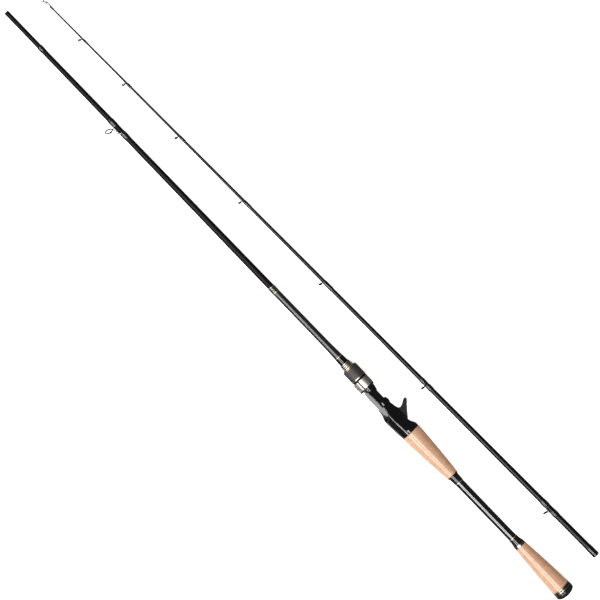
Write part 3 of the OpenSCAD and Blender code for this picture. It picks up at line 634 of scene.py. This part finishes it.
# %% A varnished wrap
def varnished(section, x0, x1, bore, thick, foot_from=None, feather=2.2 * MM, columns=56):
    """A sleeve over a cone blank: thickness is thick times a smooth step up and down over feather. A foot
    adds a ridge exp(-(a/width)^2), which fades from the foot_from end towards its toe."""
    reach = 0.5 * MM
    x = np.linspace(x0 - reach, x1 + reach, 64)
    blank = np.interp(x, [x0, x1], bore) + np.where(x < x0, (bore[0] - bore[1]) * (x0 - x) / (x1 - x0), 0)
    up = rise((x - x0 + reach) / feather) * rise((x1 + reach - x) / feather)
    a = np.linspace(0, TURN, columns, endpoint=False)
    r = (blank + 0.03 * MM + thick * up)[:, None] * np.ones(columns)
    if foot_from is not None:
        far = np.abs(x - foot_from) / (x1 - x0)
        ridge = np.exp(-(np.angle(np.exp(1j * a)) * blank.mean() / (1.15 * MM)) ** 2)
        r = r + (0.38 * MM * np.clip(1.15 - far * 1.25, 0, 1) * up)[:, None] * ridge
    inner = (blank - 0.05 * MM)[::-1, None] * np.ones(columns)
    return turned(section, np.r_[x, x[::-1]], np.vstack([r, inner]), columns)


def bores(section, node, span):
    """The radius of the blank at both ends of one wrap."""
    return [radii(section, node, x)[0] for x in span]


plain_wraps = [("stop_varnish", handle, "stop_wrap", handle_thread, 0.38),
               ("fore_varnish", handle, "fore_wrap", handle_thread, 0.38),
               ("marker_varnish", handle, "marker_wrap", marker, 0.42),
               ("tip_top_varnish", tip, "tip_top_wrap", tip_thread, 0.36)]
for name, section, node, look, thick in plain_wraps:
    parts = [varnished(section, *span, bores(section, node, span), thick * MM, feather=1.2 * MM)
             for span in stretches(section, node)]
    material_slot = "marker" if look is marker else "wrap"
    build(name, parts, look, section.body, (node,))
print("plain wraps:", [w[0] for w in plain_wraps])

# %% Wraps over the feet of the guides
for name, section, node, ring_mount in (
        [("stripper_varnish", stripper, "stripper_wraps", "stripper_ring")]
        + [(f"guide_{k}_varnish", tip, f"guide_{k}_wrap", f"guide_{k}_ring") for k in range(1, 8)]):
    ring_x = section.inside(np.array([mounts[ring_mount]["pos_m"]]))[0, 0]
    parts = []
    for span in stretches(section, node):
        mouth = span[1] if span[1] < ring_x else span[0]
        parts.append(varnished(section, *span, bores(section, node, span), 0.40 * MM, foot_from=mouth))
    build(name, parts, tip_thread if section is tip else handle_thread, section.body, (node,))
print("guide wraps are done, the last with", len(parts), "part(s)")

# %% Gold bands and the plain trims
gold_lines = [("stop_gold", handle, "stop_wrap_trim", dark_gold),
              ("stripper_gold", handle, "stripper_trims", dark_gold),
              ("marker_gold", handle, "marker_trims", gold_handle),
              ("fore_gold", handle, "fore_trim", gold_handle),
              ("front_gold", handle, "front_line", gold_handle),
              ("rear_gold", handle, "rear_line", gold_handle),
              ("socket_gold", tip, "socket_trim", dark_gold_tip)]
for name, section, node, look in gold_lines:
    parts = []
    for x0, x1 in stretches(section, node):
        (b0, r0), (b1, r1) = radii(section, node, x0), radii(section, node, x1)
        t = np.linspace(0, 1, 13)
        crown = 0.12 * MM * np.sqrt(np.clip(1 - (2 * t - 1) ** 2, 0, 1))
        x = x0 + (x1 - x0) * t
        outer = r0 + (r1 - r0) * t - 0.10 * MM + crown
        parts.append(turned(section, np.r_[x, x1, x0], np.r_[outer, b1 - 0.02 * MM, b0 - 0.02 * MM]))
    build(name, parts, look, section.body, (node,))
print("gold lines:", len(gold_lines))

# %% [markdown]
# ## The wrapped mouth of the socket
# The tip section pushes onto the spigot, so its mouth is under hoop stress and is bound with thread. The
# wrap runs right to the mouth and rounds over its edge.

# %% Socket wrap
(x0, x1), = stretches(tip, "socket_wrap")
b0, b1 = bores(tip, "socket_wrap", (x0, x1))
x = np.linspace(x0 - 0.45 * MM, x1, 60)
over_mouth = np.sqrt(np.clip(1 - (1 - np.clip((x - x[0]) / (1.4 * MM), 0, 1)) ** 2, 0, 1))
r = b0 + (b1 - b0) * (x - x0) / (x1 - x0) + 0.42 * MM * over_mouth - 0.02 * MM
build("socket_varnish", [turned(tip, np.r_[x, x1, x[0]], np.r_[r, b1 - 0.05 * MM, b0 - 0.05 * MM])],
      tip_thread, "tip_section", ("socket_wrap",))
print("socket wrap is", round((x1 - x0) / MM, 1), "mm long")

# %% [markdown]
# ## Guides
# A guide is a hard polished ring in a frame bent from wire, on feet that taper to nothing so that the
# thread can climb them. The frame's ring leans forward, which lets a slack line slide off it. Each ring
# is turned in a small frame of its own that the record's mount gives: its centre and the way the line
# leaves it. Legs are swept wires, and feet are swept flat ellipses whose radius tapers to the toe.


# %% A frame for a ring
def ring_section(section, mount):
    """A section whose x is the ring's own axis and whose y points away from the blank."""
    axis = np.array(mount["axis"])
    out = section.turn[1] - axis * (section.turn[1] @ axis)
    out /= np.linalg.norm(out)
    twin = object.__new__(Section)
    twin.turn, twin.origin = np.array([axis, out, np.cross(axis, out)]), np.array(mount["pos_m"])
    twin.body = section.body
    return twin


def oval_ring(section, middle, half_thick, half_wide, columns=56, steps=20, power=0.7):
    """A ring round x: its cut is a squared-off ellipse, half_thick by half_wide, round radius middle."""
    t = np.linspace(0, TURN, steps, endpoint=False)
    soft = lambda v: np.sign(v) * np.abs(v) ** power
    return turned(section, half_wide * soft(np.cos(t)), middle + half_thick * soft(np.sin(t)), columns)


stripper_ring = ring_section(stripper, mounts["stripper_ring"])
print("ring of the stripper stands", round(stripper_ring.origin[2] / MM, 2), "mm up")


# %% Foot, legs and ring of one guide
RIM_WALL = 1.0 * MM     # from a ring's bore to the outside of its rim


def guide(name, section, ring_name, frame_node, wrap_spans, blank, wire, look, bulk, spread=50):
    """One guide: for each wrap a tapering foot under it and two legs to the ring, then the ring's black rim
    and its insert."""
    mount = mounts[ring_name]
    ring = ring_section(section, mount)
    clear = mount["dims"]["r_mm"] * MM
    outer = clear + RIM_WALL
    x, h, _ = section.inside(np.array([mount["pos_m"]]))[0]
    lean = section.turn @ ring.turn[1]
    parts = []
    for span in wrap_spans:
        behind = span[1] < x
        mouth, toe = (span[1], span[0]) if behind else (span[0], span[1])
        toward = 1 if behind else -1
        path_x = np.linspace(mouth + toward * 0.8 * MM, mouth + (toe - mouth) * 0.8, 16)
        height = blank(path_x) + 0.16 * MM
        foot = np.stack([path_x, height, np.zeros(16)], -1)
        parts.append(swept(section, foot, wire * 2.2 * np.linspace(1, 0.35, 16), flat=0.3))
        base = np.array([path_x[0], blank(path_x[0]) + wire * 0.9, 0])
        for side in (-1, 1):
            angle = math.radians(spread)
            joint = np.array([x, h, 0]) + (outer - 0.25 * MM) * (
                -math.cos(angle) * lean + side * math.sin(angle) * np.array([0, 0, 1]))
            start = base + np.array([-toward * 0.6 * MM, 0, side * wire * 1.1])
            level = start + np.array([toward * 1.8 * MM, 0, 0])
            parts.append(swept(section, bend(start, level, joint + (level - joint) * 0.3, joint), wire))
    build(name + "_wire", parts, look, section.body, (frame_node,))
    build(name + "_rim", [oval_ring(ring, outer - 0.25 * MM, 0.6 * MM * bulk, 1.0 * MM * bulk)], ring_black,
          section.body)
    build(name + "_insert", [oval_ring(ring, clear + 0.28 * MM, 0.28 * MM, 0.66 * MM, power=0.85)],
          ceramic, section.body, (ring_name,))


def blank_of(section, node):
    """The blank's radius along a section, through the bores of the wraps that lie on it."""
    x, r = [], []
    for n in node:
        for span in stretches(section, n):
            x += span
            r += bores(section, n, span)
    order = np.argsort(x)
    return lambda at: np.interp(at, np.array(x)[order], np.array(r)[order])


handle_blank = blank_of(handle, ["fore_wrap", "marker_wrap", "stripper_wraps", "stop_wrap"])
tip_blank = blank_of(tip, ["socket_wrap", "tip_top_wrap"] + [f"guide_{k}_wrap" for k in range(1, 8)])
guide("stripper", stripper, "stripper_ring", "stripper_frame", stretches(handle, "stripper_wraps"),
      handle_blank, 0.55 * MM, bright_steel, 1.0)
for k in range(1, 8):
    guide(f"guide_{k}", tip, f"guide_{k}_ring", f"guide_{k}_frame", stretches(tip, f"guide_{k}_wrap"),
          tip_blank, 0.3 * MM if k < 6 else 0.34 * MM, guide_wire, 0.8)
print("guides: stripper and 1 to 7")

# %% [markdown]
# ## The tip-top
# The last ring sits on a tube that is glued over the blank's end. Two side wires brace it back to the tube
# so that it survives a knock.

# %% Tube, ring and braces
top = ring_section(tip, mounts["tip_top_ring"])
top_x, top_h, _ = tip.inside(np.array([mounts["tip_top_ring"]["pos_m"]]))[0]
clear = mounts["tip_top_ring"]["dims"]["r_mm"] * MM
outer = clear + RIM_WALL
tube_start = stretches(tip, "tip_top_frame")[0][0]
blank_end = top_x - 3.5 * MM
tube_r = radii(tip, "tip_top_frame", tube_start)[1]
t = np.linspace(0, math.pi / 2, 9)
tube_x = np.r_[tube_start + 0.4 * MM * (1 - np.cos(t)), blank_end + 0.6 * MM + 0.4 * MM * np.sin(t)]
tube_r_profile = np.r_[tube_r - 0.25 * MM * (1 - np.sin(t)), tube_r * np.cos(t * 0.94)]
lean = tip.turn @ top.turn[1]
parts = [oval_ring(top, outer - 0.25 * MM, 0.25 * MM, 0.52 * MM),
         turned(tip, tube_x, tube_r_profile, 40, closed=False)]
for side in (-1, 1):
    start = np.array([blank_end - 4 * MM, 0.6 * MM, side * 1.0 * MM])
    joint = np.array([top_x, top_h, 0]) + (outer - 0.3 * MM) * side * np.array([0, 0, 1])
    brace = bend(start, start + [2.5 * MM, 0, side * 0.4 * MM], joint - [1.8 * MM, 0.6 * MM, 0], joint)
    parts.append(swept(tip, brace, 0.33 * MM))
low = np.array([top_x, top_h, 0]) - (outer - 0.3 * MM) * lean
stem = bend((blank_end - 0.5 * MM, 0, 0), (blank_end + 1.0 * MM, 0, 0), low - [0.8 * MM, 0, 0], low)
parts.append(swept(tip, stem, 0.36 * MM))
build("tip_top_wire", parts, bright_steel, "tip_section", ("tip_top_frame",))
build("tip_top_insert", [oval_ring(top, clear + 0.26 * MM, 0.26 * MM, 0.6 * MM, power=0.85)],
      ceramic, "tip_section", ("tip_top_ring",))
print("tip-top tube radius", round(tube_r / MM, 2), "mm")

# %% [markdown]
# ## The butt cap
# A moulded cap closes the butt and takes the knocks. Its face is a shallow dome with a rounded shoulder
# and a small raised rim, and a groove separates it from the trim rings.

# %% Dome and shoulder
(x0, x1), = stretches(handle, "butt_cap")
cap_bore, cap_r = radii(handle, "butt_cap", x1)
t = np.linspace(0, math.pi / 2, 40)
dome_x = x0 + (x1 - x0) * 0.62 * (1 - np.cos(t)) ** 0.85
dome_r = (cap_r - 0.15 * MM) * np.sin(t) ** 0.8
rim = 0.10 * MM * np.exp(-((dome_r - cap_r * 0.72) / (0.5 * MM)) ** 2)
side_x = np.linspace(dome_x[-1] + 0.2 * MM, x1 - 0.3 * MM, 18)
side_r = cap_r - 0.15 * MM * np.exp(-((side_x - side_x.mean()) / (1.2 * MM)) ** 2)
cap_x = np.r_[dome_x[1:] - rim[1:], side_x, x1, x1, x1 - 6 * MM, x1 - 6 * MM]
cap_profile = np.r_[dome_r[1:], side_r, cap_r - 0.3 * MM, cap_bore, cap_bore, 0.4 * MM]
build("butt_dome", [turned(handle, cap_x, cap_profile, 120, closed=False)],
      butt_rubber, "handle_section", ("butt_cap",))
print("butt cap", round((x1 - x0) / MM, 1), "mm long and", round(2 * cap_r / MM, 1), "mm across")


# %% [markdown]
# ## The reel seat
# The seat is one moulding: a round rear end, a fixed hood with its pocket, a level platform, a trigger for
# the finger and a threaded barrel. Its solid is exact but every edge is knife sharp, and moulded plastic
# never is. A copy is rebuilt as a fine skin of even cells and relaxed, which rounds each edge by about
# half a millimetre. The thread would blur, so it is cut back there and replaced with a true helix.

# %% Rounded moulding
source = frame["nodes"]["seat_body"]
copy = bpy.data.objects.new("seat_copy", source.data.copy())
bpy.context.collection.objects.link(copy)
weld = copy.modifiers.new("weld", "WELD")
weld.merge_threshold = 1e-6
cells = copy.modifiers.new("cells", "REMESH")
cells.mode, cells.voxel_size = "VOXEL", 0.48 * MM
relax = copy.modifiers.new("relax", "SMOOTH")
relax.factor, relax.iterations = 0.5, 4
seat_mesh = bpy.data.meshes.new_from_object(copy.evaluated_get(bpy.context.evaluated_depsgraph_get()))
bpy.data.objects.remove(copy)
flat = np.empty(len(seat_mesh.vertices) * 3)
seat_mesh.vertices.foreach_get("co", flat)
p = handle.inside(flat.reshape(-1, 3))
(seat_start, seat_end), = stretches(handle, "seat_body")
thread_start = seat_start + 89 * MM
crest = radii(handle, "seat_body", seat_end)[1]
root = crest - 0.65 * MM
r = np.hypot(p[:, 1], p[:, 2])
cut_back = np.where((p[:, 0] > thread_start) & (r > root), root / r, 1.0)
p[:, 1:] *= cut_back[:, None]
seat_mesh.vertices.foreach_set("co", handle.outside(p).ravel())
settle("seat_moulding", seat_mesh, seat_skin, "handle_section", ("seat_body",), sharp=60)
print("seat skin:", len(seat_mesh.polygons), "faces; thread crest at", round(crest / MM, 2), "mm")

# %% The thread as a true helix
pitch = 2 * MM
a = np.linspace(0, TURN, 96, endpoint=False)
x = np.arange(thread_start + 0.3 * MM, seat_end, pitch / 16)
phase = (x[:, None] / pitch - a / TURN) % 1
tooth = np.clip(2.2 - np.abs(phase - 0.5) * 6, 0, 1)
ends = rise((x - x[0]) / pitch) * rise((x[-1] - x) / pitch)
r = root - 0.06 * MM + (crest - root + 0.02 * MM) * tooth * ends[:, None]
inner = np.full((2, len(a)), root - 0.4 * MM)
build("seat_thread", [turned(handle, np.r_[x, x[-1], x[0]], np.vstack([r, inner]), len(a))],
      polished_black, "handle_section")
print("thread of", round((x[-1] - x[0]) / pitch), "turns")

# %% [markdown]
# ## The lock nut
# The nut draws the sliding hood back over the reel's foot. Its sleeve has shallow flutes for the fingers,
# between two bright rings.

# %% Fluted sleeve
(x0, x1), = stretches(handle, "nut_sleeve")
core_r, grip_r = radii(handle, "nut_sleeve", x0)
x = np.linspace(x0, x1, 40)
a = np.linspace(0, TURN, 360, endpoint=False)
flute = 0.5 - 0.5 * np.cos(a * 30)
depth = 0.22 * MM * rise((x - x0) / (1.6 * MM)) * rise((x1 - x) / (1.6 * MM))
r = grip_r - 0.1 * MM - depth[:, None] * flute ** 3
inner = np.full((2, len(a)), core_r)
build("nut_flutes", [turned(handle, np.r_[x, x1, x0], np.vstack([r, inner]), len(a))],
      grip_charcoal, "lock_nut", ("nut_sleeve",))
print("sleeve", round((x1 - x0) / MM, 1), "mm long, radius", round(grip_r / MM, 2), "mm")

# %% [markdown]
# ## Finishes on the solids that stay
# Blanks, metal rings and the hood are already the right shape, so they keep their solids and only get a
# finish.

# %% Assign finishes
kept = {"butt_blank": handle_carbon, "tip_blank": tip_carbon, "gloss_band": band,
        "winding_check": ribbed_metal,
        "hood": champagne, "hood_rim": polished_black, "nut_core": nut_black, "nut_trims": nut_gold,
        "seat_arbors": tape, "front_grip_ring": polished_black, "front_sleeve": polished_black,
        "rear_sleeve": polished_black, "rear_check": check_silver, "butt_trims": butt_gold,
        "butt_dark_ring": polished_black}
for node, look in kept.items():
    for material_slot in frame["nodes"][node].material_slots:
        material_slot.material = look.material
print("solids that keep their shape:", len(kept))

# %% [markdown]
# ## The table
# A pale sheet that runs out past the frame on every side. It is lit like everything else and glows as
# well, so it stays clean white under the rod.

# %% Table
size = 6.0
corners = [(-size, -size, 0), (size, -size, 0), (size, size, 0), (-size, size, 0)]
table_mesh = bpy.data.meshes.new("table")
table_mesh.from_pydata(corners, [], [(0, 1, 2, 3)])
table = bpy.data.objects.new("table", table_mesh)
table.location.z = -0.0003
table.visible_glossy = False
table.visible_shadow = False
bpy.context.collection.objects.link(table)
paper = Finish("paper", Roughness=0.9, Specular_IOR_Level=0.1, Emission_Strength=1.0,
               Emission_Color=(1, 1, 1, 1))
fibres = paper.noise(paper.place(), 30, detail=4)
paper.feed(Base_Color=paper.mix(fibres, (0.90, 0.90, 0.90, 1), (0.94, 0.94, 0.94, 1)))
table_mesh.materials.append(paper.material)
print("table is", 2 * size, "m across")
